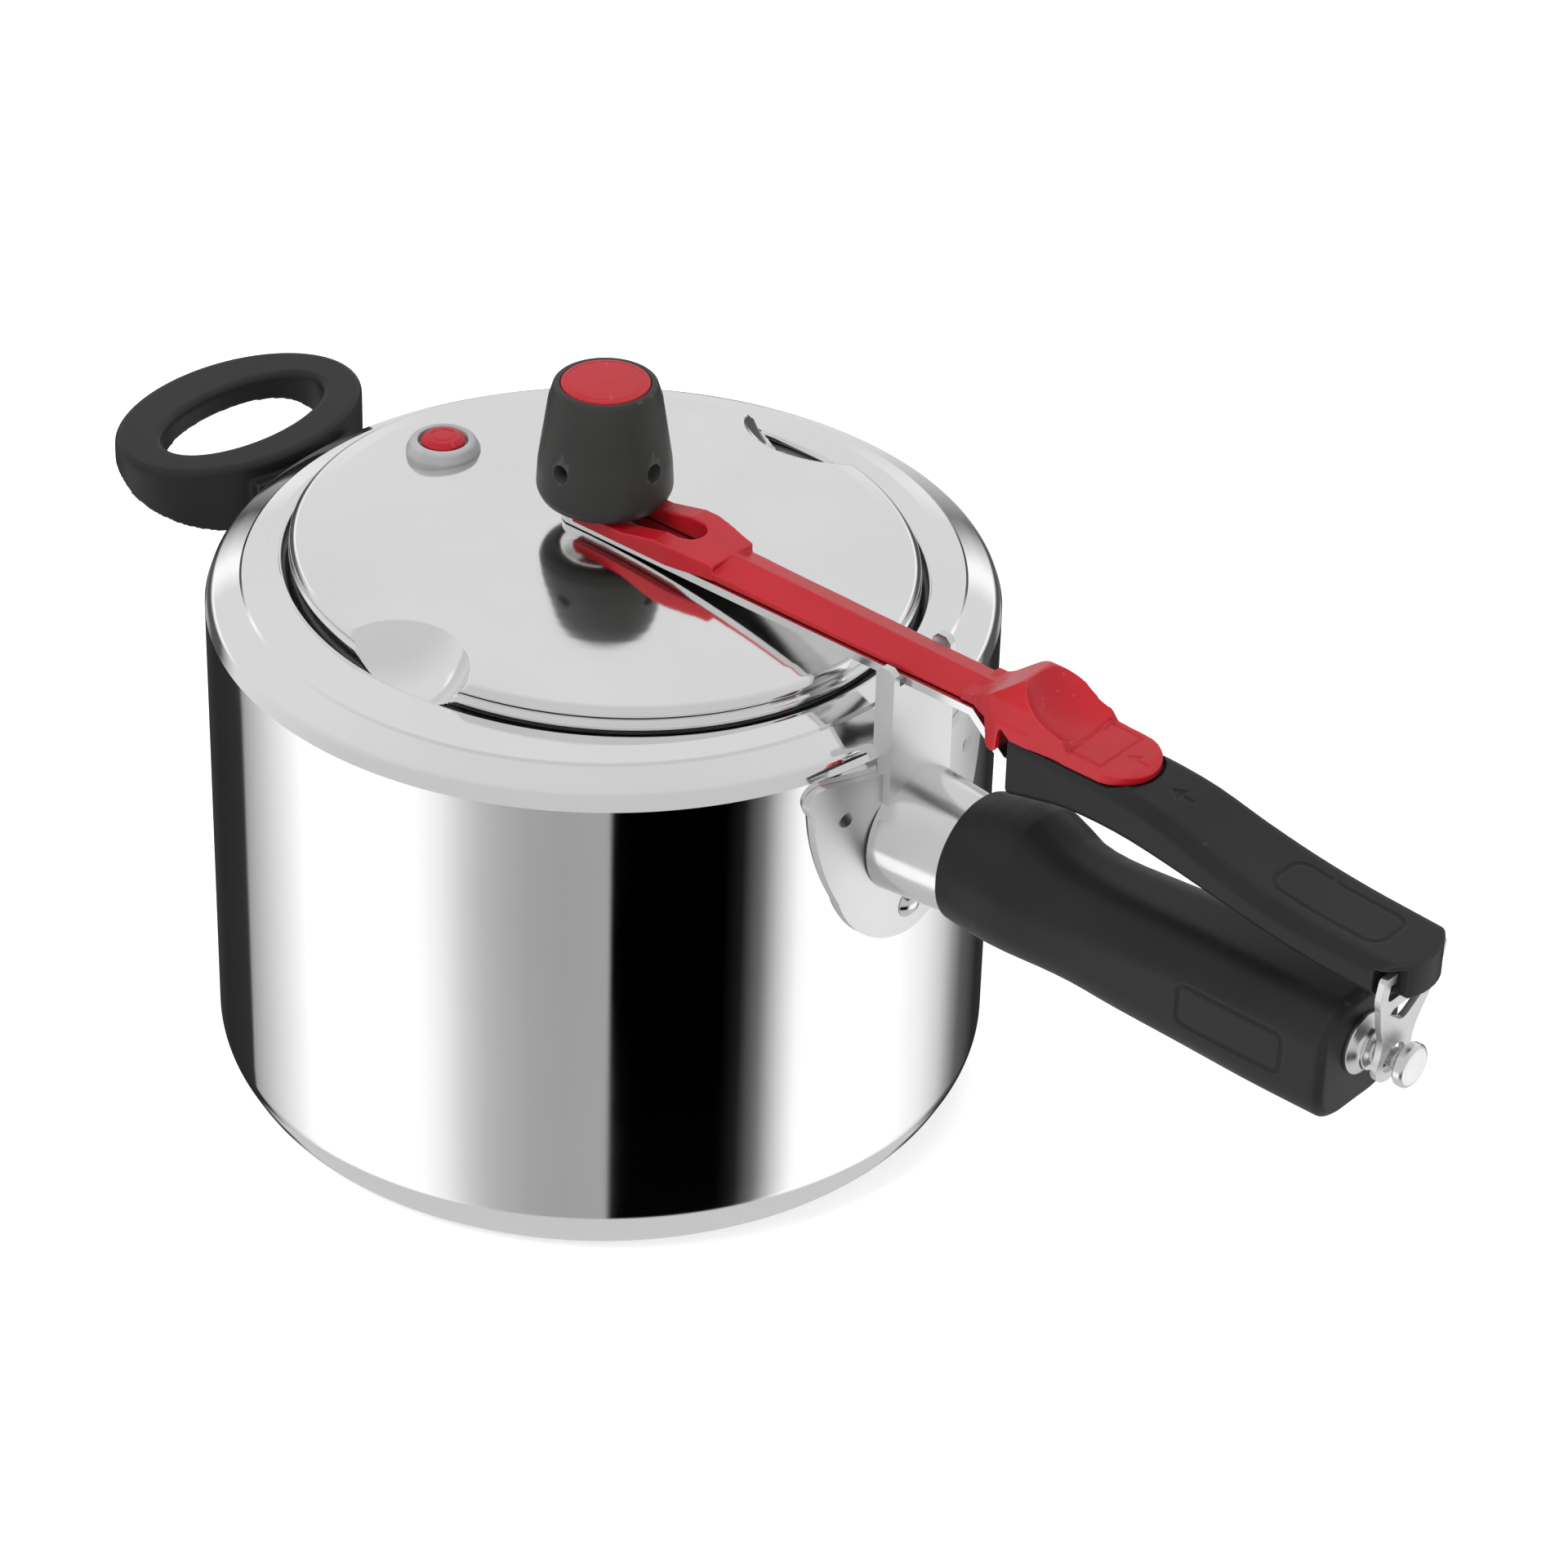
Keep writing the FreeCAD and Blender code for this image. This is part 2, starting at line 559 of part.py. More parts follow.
def weight_cap():
    z1 = WEIGHT_Z1
    return turned([(0, z1 - 1.15), (11.6, z1 - 1.15), (11.6, z1 - 0.3),
                   (10.8, z1 + 0.1, 9.6, z1 + 0.2), (0, z1 + 0.3)])


# ---------------------------------------------------------------- lever

def fork_profile():
    """Side view of the fork and bar, as drawn between the prong tips and the head."""
    ramp_z = FORK_Z + RAMP_RISE
    return [(-2, LEVER_Z0), (136, LEVER_Z0), (136, 168.0), (126, 168.0), (44, LEVER_Z1),
            (36, ramp_z - 0.6), (30, ramp_z), (RAMP_X1, ramp_z), (RAMP_X0, FORK_Z), (-1, FORK_Z),
            (-2, FORK_Z - 1.5)]


def gable(x, half_w, eave, ridge):
    """Cross-section of the bar: flat underneath, two slopes on top."""
    points = [(-half_w, LEVER_Z0), (half_w, LEVER_Z0), (half_w, eave), (0.6, ridge), (-half_w, eave)]
    return path(points, lambda a, b: v(x, a, b))


def release_lever():
    w, f = LEVER_W, FORK_W
    bar = side(fork_profile(), -20, 20)
    outline = [(-3, -f), (30, -f), (35, -f + 0.8, 40, -w - 0.9), (46, -w), (128, -w), (128, w), (46, w),
               (40, w + 0.9), (35, f - 0.8, 30, f), (-3, f)]
    bar = bar.common(plan(outline, 160, 180))
    s = SLOT_W
    bar = bar.cut(plan([(-5, -s), (SLOT_X, -s), (SLOT_X + s, 0, SLOT_X, s), (-5, s)], 160, 180))
    ends = [gable(44, w, 167.2, LEVER_Z1), gable(129, w - 0.4, 166.2, 168.2)]
    bar = bar.cut(box(44, 136, -w - 1, w + 1, 160, 175)).fuse(Part.makeLoft(ends, True, True))
    return bar.fuse(lever_head()).removeSplitter()


def lever_head():
    z = TONGUE_Z0
    hump = [(125, LEVER_Z0), (139.5, LEVER_Z0), (143.0, z), (TIP_X, z), (TIP_X, z + 2.0),
            (TIP_X - 3, z + 2.8), (167, z + 3.3), (160.0, z + 3.6), (152.0, z + 14.7),
            (144.0, z + 14.7), (142.2, z + 14.5, 140.6, z + 13.6), (135.0, z + 9.8, 130.2, z + 6.4),
            (127.5, 167.4), (125, 167.4)]
    body = side(hump, -20, 20)
    w, t, n = HEAD_W, TONGUE_W, LEVER_W
    outline = [(124, -n), (129, -n), (134, -w + 1.2, 139, -w), (148, -w), (155, -w + 0.8, 160, -t),
               (170.0, -t), (TIP_X, 0, 170.0, t), (160, t), (155, w - 0.8, 148, w), (139, w),
               (134, w - 1.2, 129, n), (124, n)]
    body = body.common(plan(outline, 150, 190))
    crown = front([(-w - 1, 150), (w + 1, 150), (w + 1, z + 2.4), (w - 0.2, z + 4.2), (w - 0.7, z + 10.4),
                   (w - 3.4, z + 13.5, 0, z + 14.8), (-w + 3.4, z + 13.5, -w + 0.7, z + 10.4),
                   (-w + 0.2, z + 4.2), (-w - 1, z + 2.4)], 120, 190)
    thumb = Part.makeSphere(THUMB_R, v(160.0, 0, z + 3.5 + THUMB_R))
    body = body.common(crown).cut(thumb)
    for s in (-1, 1):
        y0, y1 = sorted((s * 9.0, s * w))
        skirt = side([(134.0, 166.0), (134.9, 160.0), (135.4, 157.6, 137.0, 157.0),
                      (138.3, 157.5, 138.8, 159.2), (139.2, 163.0), (140.6, 166.0)], y0, y1)
        body = body.fuse(skirt.common(plan(outline, 150, 190)))
    return body


# ---------------------------------------------------------------- latch

def latch_hook():
    x0, x1 = LATCH_X - LATCH_T / 2, LATCH_X + LATCH_T / 2
    leg, top = LATCH_LEG, LATCH_TOP
    half = [(7.0, SCREW_Z), (6.6, 122.5, 7.4, 126.5), (9.6, 131.5), (leg - 1.2, 137.5),
            (leg, 141.5, leg, 144.0), (leg, top - 1.2), (leg - 0.4, top - 0.3, leg - 1.3, top),
            (7.5, top), (7.5, 144.7), (9.4, 144.7), (9.4, 141.2), (8.8, 139.8, 7.4, 139.3)]
    outline = [(-7.0, SCREW_Z), (0, SCREW_Z - 7.0) + half[0]] + half[1:] + mirrored(half)
    plate = front(outline, x0, x1)
    window = [(0, 129.8), (1.6, 130.4), (6.8, 134.4), (5.6, 135.6), (-5.6, 135.6),
              (-6.8, 134.4), (-1.6, 130.4)]
    plate = plate.cut(front(window, x0 - 1, x1 + 1))
    plate = plate.cut(rod_x(4.2, x0 - 1, x1 + 1, 0, SCREW_Z))
    plate.rotate(v(LATCH_X, 0, SCREW_Z), Y, LATCH_TILT)
    return plate


NODES = {
    "pot_shell": pot_body,
    "handle_bracket": bracket_plate,
    "bracket_rivets": bracket_rivets,
    "handle_tube": handle_tube,
    "tube_plug": tube_plug,
    "tie_screw": tie_screw,
    "lower_grip": lower_grip,
    "latch_seat": latch_seat,
    "latch_hook": latch_hook,
    "helper_bracket": helper_bracket,
    "helper_rivets": helper_rivets,
    "helper_handle": helper_handle,
    "helper_screw": helper_screw,
    "lid_shell": lid_shell,
    "lid_gasket": lid_gasket,
    "lid_arm": lid_arm,
    "vent_stem": vent_stem,
    "stem_washer": stem_washer,
    "stem_nut": stem_nut,
    "upper_handle": upper_handle,
    "handle_screws": handle_screws,
    "valve_seal": valve_seal,
    "valve_pin": valve_pin,
    "weight_shell": weight_shell,
    "weight_core": weight_core,
    "weight_cap": weight_cap,
    "release_lever": release_lever,
}

os.makedirs("parts", exist_ok=True)
for name, make in NODES.items():
    shape = make()
    shape.exportStep("parts/%s.step" % name)
    print(name, len(shape.Solids), shape.isValid(), round(shape.Volume))
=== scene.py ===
import bpy
import bmesh
import math
from mathutils import Matrix, Vector


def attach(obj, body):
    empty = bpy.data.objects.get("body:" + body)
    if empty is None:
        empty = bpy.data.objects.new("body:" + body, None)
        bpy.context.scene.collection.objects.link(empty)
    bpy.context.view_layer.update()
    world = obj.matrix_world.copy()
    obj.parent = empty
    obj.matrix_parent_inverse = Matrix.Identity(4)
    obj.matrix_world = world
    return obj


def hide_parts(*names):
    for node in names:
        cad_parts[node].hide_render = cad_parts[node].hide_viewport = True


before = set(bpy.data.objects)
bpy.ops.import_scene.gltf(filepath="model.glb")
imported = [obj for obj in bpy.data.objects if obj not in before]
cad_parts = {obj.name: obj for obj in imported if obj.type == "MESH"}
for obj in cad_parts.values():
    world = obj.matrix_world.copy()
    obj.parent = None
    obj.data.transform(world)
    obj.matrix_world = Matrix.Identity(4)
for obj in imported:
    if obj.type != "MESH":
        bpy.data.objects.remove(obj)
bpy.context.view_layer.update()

# All shapes below are drawn in millimetres and scaled as they become meshes.
MM = 0.001
OVAL = 78.1 / 85.0        # lid width over lid length
LID_THICK = 2.4
LID_TOP_Z = 162.3
FLANGE_Z = 140.0          # underside of the lid's flange
MOUTH = (86.9, 80.4)      # oval mouth of the pot, half length and half width
RIM_R = 88.5              # where the flat rim starts
SCOOP_R = 25.6            # the ball that would fill a side scoop of the lid
SCOOPS = [Vector((3.0, side * 86.2, 168.8)) for side in (-1, 1)]
STEM_R = 4.0
TUBE_Z = 115.0            # axis of the ferrule
SCREW_Z = 117.5           # axis of the latch cup
VALVE_X = -58.0
WEIGHT_Z0 = 169.5
WEIGHT_Z1 = 203.0


# ---------------------------------------------------------------- mesh tools

def rounded(corners, closed=False, steps=6):
    """Points of a path whose corners, given as (a, b, radius), are turned into arcs."""
    out = []
    last = len(corners) - 1
    for i, (a, b, radius) in enumerate(corners):
        p = Vector((a, b))
        if radius == 0 or (not closed and i in (0, last)):
            out.append((a, b))
            continue
        before = Vector(corners[i - 1][:2]) - p
        after = Vector(corners[(i + 1) % len(corners)][:2]) - p
        half = before.angle(after) / 2
        reach = min(radius / math.tan(half), 0.49 * min(before.length, after.length))
        radius = reach * math.tan(half)
        centre = p + (before.normalized() + after.normalized()).normalized() * (radius / math.sin(half))
        start = p + before.normalized() * reach - centre
        end = p + after.normalized() * reach - centre
        turn = start.angle_signed(end)
        for k in range(steps + 1):
            arm = start.copy()
            arm.rotate(Matrix.Rotation(-turn * k / steps, 2))
            out.append(tuple(centre + arm))
    return out


def densified(path, step, closed=False):
    """The path with extra points, so that none are further apart than step."""
    out = []
    pairs = zip(path, path[1:] + path[:1]) if closed else zip(path, path[1:])
    for (a, b), (c, d) in pairs:
        n = max(1, math.ceil(math.hypot(c - a, d - b) / step))
        out += [(a + (c - a) * k / n, b + (d - b) * k / n) for k in range(n)]
    return out if closed else out + [path[-1]]


def mesh_object(name, verts, faces, smooth_angle=40):
    """A mesh in metres from points in millimetres, with its normals facing out."""
    mesh = bpy.data.meshes.new(name)
    mesh.from_pydata([Vector(v) * MM for v in verts], [], faces)
    tidy = bmesh.new()
    tidy.from_mesh(mesh)
    bmesh.ops.recalc_face_normals(tidy, faces=tidy.faces)
    tidy.to_mesh(mesh)
    tidy.free()
    obj = bpy.data.objects.new(name, mesh)
    bpy.context.collection.objects.link(obj)
    shade(obj, smooth_angle)
    return obj


def shade(obj, angle):
    """Smooth shading, with edges sharper than the angle kept crisp."""
    mesh = obj.data
    mesh.shade_smooth()
    work = bmesh.new()
    work.from_mesh(mesh)
    limit = math.radians(angle)
    for edge in work.edges:
        edge.smooth = len(edge.link_faces) != 2 or edge.calc_face_angle() < limit
    work.to_mesh(mesh)
    work.free()


def spun(name, path, place, segments=192, closed=False, angle=40):
    """Sweeps a path of (radius, height) round. place(radius, height, angle) gives each point."""
    verts, rings = [], []
    for r, h in path:
        if r < 1e-6:
            rings.append([len(verts)])
            verts.append(place(0.0, h, 0.0))
            continue
        rings.append(list(range(len(verts), len(verts) + segments)))
        verts += [place(r, h, 2 * math.pi * k / segments) for k in range(segments)]
    faces = []
    pairs = list(zip(rings, rings[1:])) + ([(rings[-1], rings[0])] if closed else [])
    for low, high in pairs:
        for k in range(segments):
            n = (k + 1) % segments
            if len(low) == 1 and len(high) == 1:
                break
            if len(low) == 1:
                faces.append((low[0], high[k], high[n]))
            elif len(high) == 1:
                faces.append((low[k], high[0], low[n]))
            else:
                faces.append((low[k], high[k], high[n], low[n]))
    return mesh_object(name, verts, faces, angle)


def about_z(x=0.0):
    """Turns a path about an upright axis."""
    return lambda r, h, t: (x + r * math.cos(t), r * math.sin(t), h)


def about_x(z):
    """Turns a path about an axis along X."""
    return lambda r, h, t: (h, r * math.cos(t), z + r * math.sin(t))


def oval(r, h, t):
    """Turns a path about Z in the lid's oval."""
    return (r * math.cos(t), OVAL * r * math.sin(t), h)


def applied(obj):
    """Applies the object's modifiers."""
    deps = bpy.context.evaluated_depsgraph_get()
    mesh = bpy.data.meshes.new_from_object(obj.evaluated_get(deps))
    obj.modifiers.clear()
    obj.data = mesh
    return obj


def cut(obj, cutter):
    """Takes the cutter's shape out of the object and deletes the cutter."""
    mod = obj.modifiers.new("cut", "BOOLEAN")
    mod.operation = "DIFFERENCE"
    mod.solver = "EXACT"
    mod.object = cutter
    applied(obj)
    bpy.data.objects.remove(cutter)


def copy_of(node, name, merge=True):
    """A new object with the CAD node's shape, its triangles merged back into flat faces if asked."""
    obj = bpy.data.objects.new(name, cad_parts[node].data.copy())
    bpy.context.collection.objects.link(obj)
    work = bmesh.new()
    work.from_mesh(obj.data)
    bmesh.ops.remove_doubles(work, verts=work.verts, dist=1e-6)
    if merge:
        bmesh.ops.dissolve_limit(work, angle_limit=math.radians(0.5), verts=work.verts, edges=work.edges)
    work.to_mesh(obj.data)
    work.free()
    return obj


def moulded(node, name, voxel, rounds):
    """The CAD shape with its edges softened as a moulding or casting has them."""
    obj = copy_of(node, name, merge=False)
    mod = obj.modifiers.new("remesh", "REMESH")
    mod.mode = "VOXEL"
    mod.voxel_size = voxel * MM
    mod = obj.modifiers.new("smooth", "SMOOTH")
    mod.factor = 0.5
    mod.iterations = rounds
    applied(obj)
    obj.data.shade_smooth()
    return obj


def pressed(node, name, width):
    """The CAD shape with its edges rounded as sheet or turned metal has them."""
    obj = copy_of(node, name)
    mod = obj.modifiers.new("bevel", "BEVEL")
    mod.width = width * MM
    mod.segments = 3
    mod.limit_method = "ANGLE"
    mod.angle_limit = math.radians(32)
    applied(obj)
    shade(obj, 40)
    mod = obj.modifiers.new("normals", "WEIGHTED_NORMAL")
    mod.keep_sharp = True
    return applied(obj)


def rounded_box(a, b, centre, half, radius):
    """Distance in millimetres from (a, b) to a rounded rectangle, negative inside it."""
    da = abs(a - centre[0]) - half[0] + radius
    db = abs(b - centre[1]) - half[1] + radius
    return math.hypot(max(da, 0), max(db, 0)) + min(max(da, db), 0) - radius


def outline_of(centre, half, radius, width):
    """Distance to a groove along a rounded rectangle."""
    return lambda a, b: abs(rounded_box(a, b, centre, half, radius)) - width / 2


def arrow(tip, length, half):
    """Distance to a plain arrow whose head points to lower values of a."""
    flare = 0.8            # half width of the head over its length
    lean = 0.78            # turns a distance along b into one square to the head's side

    def distance(a, b):
        head = max((abs(b) - (a - tip) * flare) * lean, a - tip - half / flare)
        shaft = rounded_box(a, b, (tip + length / 2 + 1, 0), (length / 2 - 1, half * 0.26), 0.1)
        return min(head, shaft)
    return distance


def sunk(obj, across, depth, shapes):
    """Sinks the shapes into the faces that look along the third axis: the top only, or both sides."""
    a, b = across
    along = 3 - a - b
    soft = 0.25            # half width of the groove's sloping edge
    for vert in obj.data.vertices:
        facing = vert.normal[along] if along == 2 else abs(vert.normal[along])
        if facing < 0.7:
            continue
        gap = min(shape(vert.co[a] / MM, vert.co[b] / MM) for shape in shapes)
        if gap < soft:
            vert.co -= vert.normal * depth * MM * min(1.0, (1 - gap / soft) / 2)
    obj.data.shade_smooth()


# ---------------------------------------------------------------- materials

class Nodes:
    """Adds nodes to a shader tree. Every input may be a value or another node's output."""

    def __init__(self, tree):
        self.tree = tree

    def node(self, kind, inputs=(), out=0, **settings):
        made = self.tree.nodes.new(kind)
        for key, value in settings.items():
            setattr(made, key, value)
        for key, value in dict(inputs).items():
            self.feed(made.inputs[key], value)
        return made.outputs[out] if made.outputs else None

    def feed(self, socket, value):
        if isinstance(value, bpy.types.NodeSocket):
            self.tree.links.new(value, socket)
        else:
            socket.default_value = value

    def math(self, operation, *values):
        return self.node("ShaderNodeMath", dict(enumerate(values)), operation=operation)

    def spread(self, value, low, high, lo=0.35, hi=0.65):
        """Maps values from lo to hi onto low to high. The usual lo and hi suit a noise."""
        return self.node("ShaderNodeMapRange", {"Value": value, "From Min": lo, "From Max": hi,
                                                "To Min": low, "To Max": high})

    def blend(self, factor, a, b):
        made = self.tree.nodes.new("ShaderNodeMix")
        made.data_type = "RGBA"
        for socket, value in ((0, factor), (6, a), (7, b)):
            self.feed(made.inputs[socket], value)
        return made.outputs[2]


class Shader(Nodes):
    """A surface material under construction."""

    def __init__(self, name):
        self.material = bpy.data.materials.new(name)
        self.material.use_nodes = True
        super().__init__(self.material.node_tree)
        self.bsdf = self.tree.nodes["Principled BSDF"]
        self.place = self.node("ShaderNodeTexCoord", out="Object")

    def scaled(self, x, y, z):
        return self.node("ShaderNodeMapping", {"Vector": self.place, "Scale": (x, y, z)})

    def noise(self, scale, detail=3.0, vector=None):
        return self.node("ShaderNodeTexNoise", {"Vector": vector or self.place, "Scale": scale,
                                                "Detail": detail, "Roughness": 0.5})

    def edges(self, amount):
        """1 on convex edges, fading to 0 on flat faces."""
        point = self.node("ShaderNodeNewGeometry", out="Pointiness")
        return self.spread(point, 0.0, 1.0, 0.5 + amount * 0.2, 0.5 + amount)

    def bump(self, height, strength, distance, under=None):
        inputs = {"Height": height, "Strength": strength, "Distance": distance}
        if under:
            inputs["Normal"] = under
        return self.node("ShaderNodeBump", inputs)

    def set(self, **values):
        names = {"color": "Base Color", "metal": "Metallic", "rough": "Roughness", "normal": "Normal",
                 "spec": "Specular IOR Level", "sss": "Subsurface Weight",
                 "glow": "Emission Color", "glow_strength": "Emission Strength"}
        for key, value in values.items():
            self.feed(self.bsdf.inputs[names[key]], value)
        return self.material


def rgb(r, g, b):
    """Linear colour from 0..255 screen values."""
    def channel(c):
        c = c / 255
        return c / 12.92 if c <= 0.04045 else ((c + 0.055) / 1.055) ** 2.4
    return (channel(r), channel(g), channel(b), 1.0)


def metal(name, cloud, grain, stretch, tints, roughness, bump):
    """Bare metal: cloud and grain are the scale and detail of a faint smear and of the fine surface."""
    s = Shader(name)
    smear = s.noise(*cloud)
    fine = s.noise(*grain, s.scaled(*stretch))
    low, high = tints
    return s.set(color=s.blend(s.spread(smear, 0, 1), low + (1,), high + (1,)), metal=1.0,
                 rough=s.spread(smear, *roughness), normal=s.bump(fine, bump, 0.00002))


def moulded_black(name, low, high, rough):
    """Dark moulded plastic with a fine grain and slightly worn edges."""
    s = Shader(name)
    cloud = s.noise(35, 3)
    grain = s.noise(2600, 2)
    fine = s.noise(900, 4)
    worn = s.edges(0.05)
    base = s.blend(s.spread(cloud, 0, 1), low, high)
    lighter = tuple(min(1.0, c * 2.1 + 0.012) for c in high[:3]) + (1.0,)
    color = s.blend(s.math("MULTIPLY", worn, 0.45), base, lighter)
    normal = s.bump(fine, 0.10, 0.00006, s.bump(grain, 0.22, 0.00004))
    return s.set(color=color, rough=s.spread(cloud, rough - 0.05, rough + 0.06), spec=0.22,
                 normal=normal)


def red_plastic():
    s = Shader("red_plastic")
    cloud = s.noise(40, 3)
    grain = s.noise(1500, 2)
    worn = s.edges(0.06)
    base = s.blend(s.spread(cloud, 0, 1), rgb(158, 16, 27), rgb(168, 22, 34))
    color = s.blend(s.math("MULTIPLY", worn, 0.35), base, rgb(206, 70, 78))
    return s.set(color=color, rough=s.spread(cloud, 0.30, 0.40), spec=0.38, sss=0.04,
                 normal=s.bump(grain, 0.08, 0.00004))


def rubber(name, low, high):
    s = Shader(name)
    cloud = s.noise(90, 3)
    grain = s.noise(2200, 3)
    color = s.blend(s.spread(cloud, 0, 1), low, high)
    return s.set(color=color, rough=s.spread(cloud, 0.5, 0.66), spec=0.35,
                 normal=s.bump(grain, 0.15, 0.00005))


MATERIALS = {
    "wall": metal("polished_aluminium", (14, 4), (900, 2), (1, 1, 0.2),
                  ((0.90, 0.90, 0.91), (0.94, 0.94, 0.945)), (0.045, 0.085), 0.02),
    "lid": metal("lid_aluminium", (22, 4), (700, 2), (1, 1, 1),
                 ((0.90, 0.90, 0.905), (0.94, 0.94, 0.94)), (0.07, 0.12), 0.03),
    "steel": metal("bright_steel", (60, 3), (1400, 2), (0.15, 1, 1),
                   ((0.80, 0.80, 0.80), (0.88, 0.88, 0.885)), (0.12, 0.19), 0.03),
    "satin": metal("satin_steel", (45, 4), (1600, 2), (1, 1, 0.2),
                   ((0.78, 0.78, 0.78), (0.85, 0.85, 0.85)), (0.34, 0.42), 0.05),
    "zinc": metal("zinc_steel", (120, 3), (1800, 3), (1, 1, 1),
                  ((0.86, 0.86, 0.855), (0.94, 0.94, 0.935)), (0.24, 0.30), 0.02),
    "phenolic": moulded_black("black_phenolic", rgb(27, 27, 28), rgb(32, 32, 33), 0.42),
    "charcoal": moulded_black("charcoal_plastic", rgb(42, 43, 41), rgb(48, 49, 47), 0.40),
    "red": red_plastic(),
    "gasket": rubber("gasket_silicone", rgb(112, 112, 114), rgb(128, 128, 130)),
    "silicone": rubber("grey_silicone", rgb(150, 150, 152), rgb(166, 166, 168)),
}


def dress(obj, material, body, slot, *nodes):
    """Gives a finished piece its material and its body, and hides the CAD nodes it stands for. The record
    slot argument is not used.
    """
    obj.data.materials.clear()
    obj.data.materials.append(MATERIALS[material])
    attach(obj, body)
    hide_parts(*nodes)


# ---------------------------------------------------------------- pot

def mouth_radius(t):
    a, b = MOUTH
    return a * b / math.hypot(b * math.cos(t), a * math.sin(t))


def pot_point(r, h, t):
    """Turns the pot's path. Its rim is drawn from RIM_R in to 60, which stands for the oval mouth."""
    if h > 140 and r < RIM_R:
        edge = mouth_radius(t)
        if r <= 61:
            r = edge + r - 60
        else:
            r = RIM_R + (edge + 1 - RIM_R) * (RIM_R - r) / (RIM_R - 61)
    return (r * math.cos(t), r * math.sin(t), h)


def build_pot():
    base = [(0, 0.6, 0), (76, 0.6, 1), (78, 0, 1), (97.9, 0, 14.2), (103.99, 11.6, 14)]
    shoulder = [(103.99, 140.3, 0.25), (102.9, 143.6, 5), (94.8, 147.7, 0.5), (94.1, 148.4, 0.5)]
    rim = [(RIM_R, 149.7, 3), (60, 149.7, 1.25), (60, 147.1, 1.25), (88.4, 147.1, 3)]
    inside = [(94.2, 144.4, 6), (101.0, 140.5, 6), (101.6, 136.5, 3), (101.6, 6.0, 7), (92, 4.5, 3),
              (0, 4.5, 0)]
    path = densified(rounded(base + shoulder + rim + inside, steps=10), 6.0)
    pot = spun("Pot_body", path, pot_point, 384, angle=30)
    dress(pot, "wall", "pot", "polished_aluminium", "pot_shell")


# ---------------------------------------------------------------- lid

def soft_max(x, k):
    """max(x, 0) with its corner rounded over a width of k."""
    return 0.5 * (x + math.sqrt(x * x + k * k)) - 0.5 * k * math.exp(-abs(x) / k)


def crown(r):
    """Height of the lid's domed top."""
    return LID_TOP_Z - 5.6 * (r / 80.0) ** 2


def lid_point(r, h, t):
    """Turns the lid's path and presses the two scoops into it."""
    point = Vector(oval(r, h, t))
    if r < 45 or h < FLANGE_Z + 1:
        return point
    inside = r < 83.5 and h < crown(r) - LID_THICK / 2
    ball = SCOOP_R + (LID_THICK if inside else 0.0)
    for centre in SCOOPS:
        away = point - centre
        depth = ball - away.length
        if depth > -4:
            point = centre + away * (1 + soft_max(depth, 0.5) / away.length)
    return point


def build_lid():
    dome = [(0, LID_TOP_Z)] + [(r, crown(r)) for r in range(6, 79, 4)]
    top = [(r, h, 0) for r, h in dome]
    edge = [(83.6, 155.9, 3.2), (85.3, 154.0, 1.2), (84.6, 152.2, 0.5), (85.4, 151.4, 0.4)]
    flange = [(85.4, 142.5, 0.9), (95.0, 142.4, 1.1), (95.0, FLANGE_Z, 1.1), (83.2, FLANGE_Z, 2.0)]
    under = [(83.0, 153.0, 2.4)] + [(r, h - LID_THICK, 0) for r, h in reversed(dome)]
    path = densified(rounded(top + edge + flange + under, steps=8), 0.9)
    lid = spun("Lid_shell", path, lid_point, 480, angle=60)
    for x, radius in ((0.0, STEM_R + 0.02), (VALVE_X, 5.0)):
        bore = [(0, 143), (radius, 143), (radius, 170), (0, 170)]
        cut(lid, spun("bore", bore, about_z(x), 64))
    shade(lid, 60)
    dress(lid, "lid", "lid", "polished_aluminium", "lid_shell")


def build_gasket():
    ring = [(86.3, 142.5, 0.5), (93.4, 142.5, 0.5), (94.0, 143.4, 0.4), (91.2, 145.3, 0.8),
            (86.3, 146.4, 0.8)]
    path = rounded(ring, closed=True, steps=5)
    gasket = spun("Lid_gasket_ring", path, oval, 256, closed=True)
    dress(gasket, "gasket", "lid", "grey_silicone", "lid_gasket")


# ---------------------------------------------------------------- weight and valve

